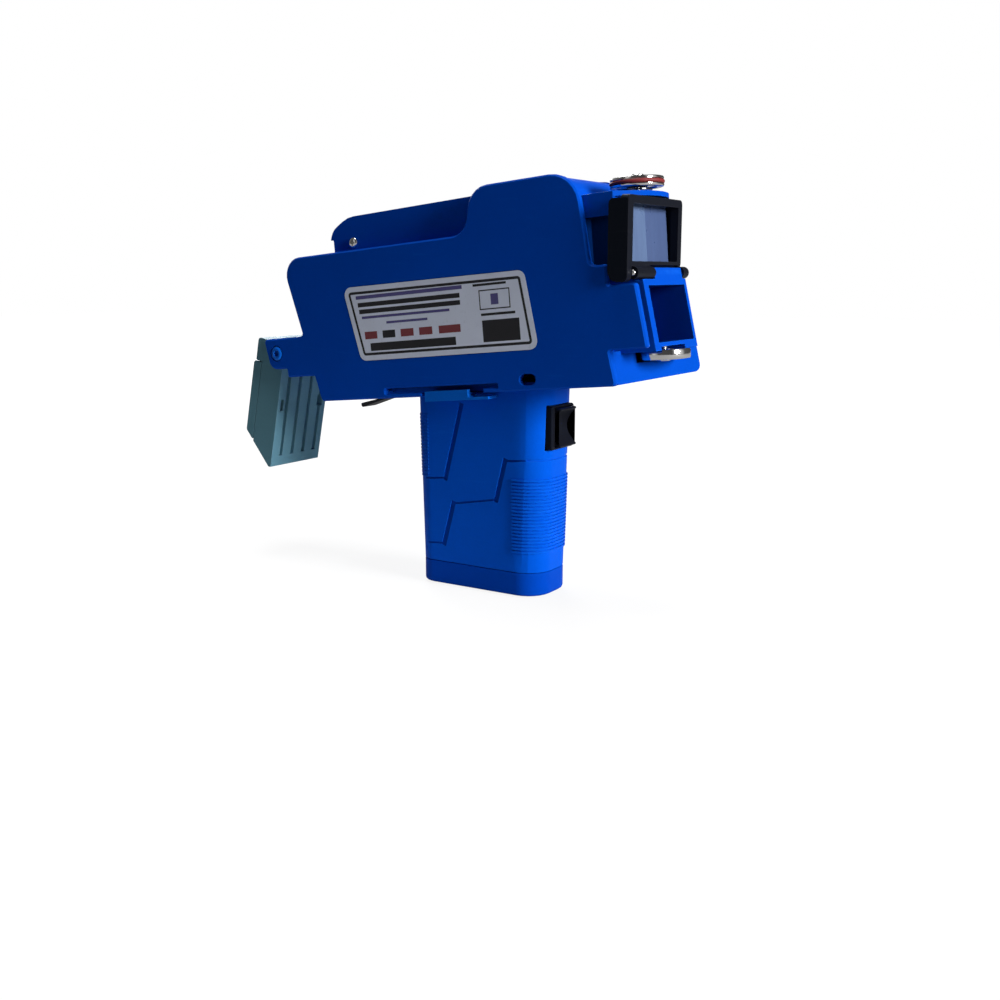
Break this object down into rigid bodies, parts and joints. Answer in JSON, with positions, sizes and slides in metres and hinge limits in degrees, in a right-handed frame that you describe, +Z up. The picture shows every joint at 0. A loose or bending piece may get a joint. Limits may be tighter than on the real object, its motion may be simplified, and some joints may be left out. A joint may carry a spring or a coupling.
{
  "type": "handheld inkjet date code printer",
  "caption": "Pistol-grip handheld inkjet coder with a hinged cartridge latch, guide wheels, tilting rear display and trigger.",
  "frame": {"origin": "on the underside of the grip base, below the middle of the grip", "axes": "+X forward towards the print face, +Y to the operator's left, +Z up the grip"},
  "size_m": [0.2197, 0.0516, 0.1731],
  "materials": {
    "blue_plastic": "satin moulded royal blue plastic",
    "black_plastic": "satin moulded black plastic",
    "grey_green_plastic": "satin moulded grey-green plastic",
    "polished_steel": "polished and plated steel",
    "red_rubber": "red silicone O-ring",
    "black_rubber": "soft black rubber",
    "label_film": "pale grey printed film, left blank",
    "pale_plate": "pale lavender protective face film",
    "dark_glass": "dark clear screen panel, switched off",
    "circuit_board": "green lacquered board",
    "cell_wrap": "shrink wrap on steel cells",
    "brass": "plated strip"
  },
  "bodies": {
    "housing": {"battery_cell_front": "cell_wrap", "battery_cell_rear": "cell_wrap", "battery_contact_front": "brass", "battery_contact_rear": "brass", "battery_link_strip": "brass", "case_screw_1": "polished_steel", "case_screw_2": "polished_steel", "case_screw_3": "polished_steel", "case_screw_4": "polished_steel", "charge_port": "polished_steel", "contact_board": "circuit_board", "display_pivot_screw_left": "polished_steel", "display_pivot_screw_right": "polished_steel", "encoder_sensor": "black_plastic", "front_frame": "blue_plastic", "grip_base_cap": "blue_plastic", "grip_shell": "blue_plastic", "ink_cartridge": "black_plastic", "latch_pin": "polished_steel", "left_side_cover": "blue_plastic", "lower_wheel_axle": "polished_steel", "main_board": "circuit_board", "main_housing": "blue_plastic", "nozzle_plate": "pale_plate", "rating_label": "label_film", "right_side_cover": "blue_plastic", "top_cover": "blue_plastic", "top_cover_screw_left": "polished_steel", "top_cover_screw_right": "polished_steel", "top_wheel_axle": "polished_steel", "trigger_bezel": "black_plastic", "trigger_switch": "black_plastic"},
    "trigger": {"trigger_button": "black_plastic"},
    "latch": {"cartridge_latch": "black_plastic"},
    "top_wheel": {"top_guide_wheel": "polished_steel", "top_wheel_ring": "red_rubber", "encoder_disc": "dark_glass"},
    "lower_wheel": {"lower_guide_wheel": "polished_steel"},
    "display": {"display_housing": "grey_green_plastic", "display_bezel": "grey_green_plastic", "display_glass": "dark_glass", "display_board": "circuit_board"},
    "lock": {"grip_lock": "blue_plastic"},
    "flap": {"port_flap": "black_rubber"}
  },
  "joints": [
    {"name": "trigger_press", "type": "slide", "parent": "housing", "child": "trigger", "axis": [-1, 0, 0], "range_m": [0, 0.003], "stiffness_N_per_m": 300},
    {"name": "latch_hinge", "type": "hinge", "parent": "housing", "child": "latch", "pos_m": [0.07527, 0, 0.13553], "axis": [0, 1, 0], "range_deg": [0, 100]},
    {"name": "top_wheel_spin", "type": "hinge", "parent": "housing", "child": "top_wheel", "pos_m": [0.06588, 0, 0.16971], "axis": [-0.0663, 0, 0.9978], "continuous": true},
    {"name": "lower_wheel_spin", "type": "hinge", "parent": "housing", "child": "lower_wheel", "pos_m": [0.07918, 0, 0.10426], "axis": [-0.0663, 0, 0.9978], "continuous": true},
    {"name": "display_tilt", "type": "hinge", "parent": "housing", "child": "display", "pos_m": [-0.10431, 0, 0.09889], "axis": [0, 1, 0], "range_deg": [-10, 80]},
    {"name": "lock_slide", "type": "slide", "parent": "housing", "child": "lock", "axis": [0.9957, 0, 0.0924], "range_m": [0, 0.005]},
    {"name": "flap_hinge", "type": "hinge", "parent": "housing", "child": "flap", "pos_m": [-0.05047, 0, 0.08038], "axis": [0, 1, 0], "range_deg": [-60, 7]}
  ]
}
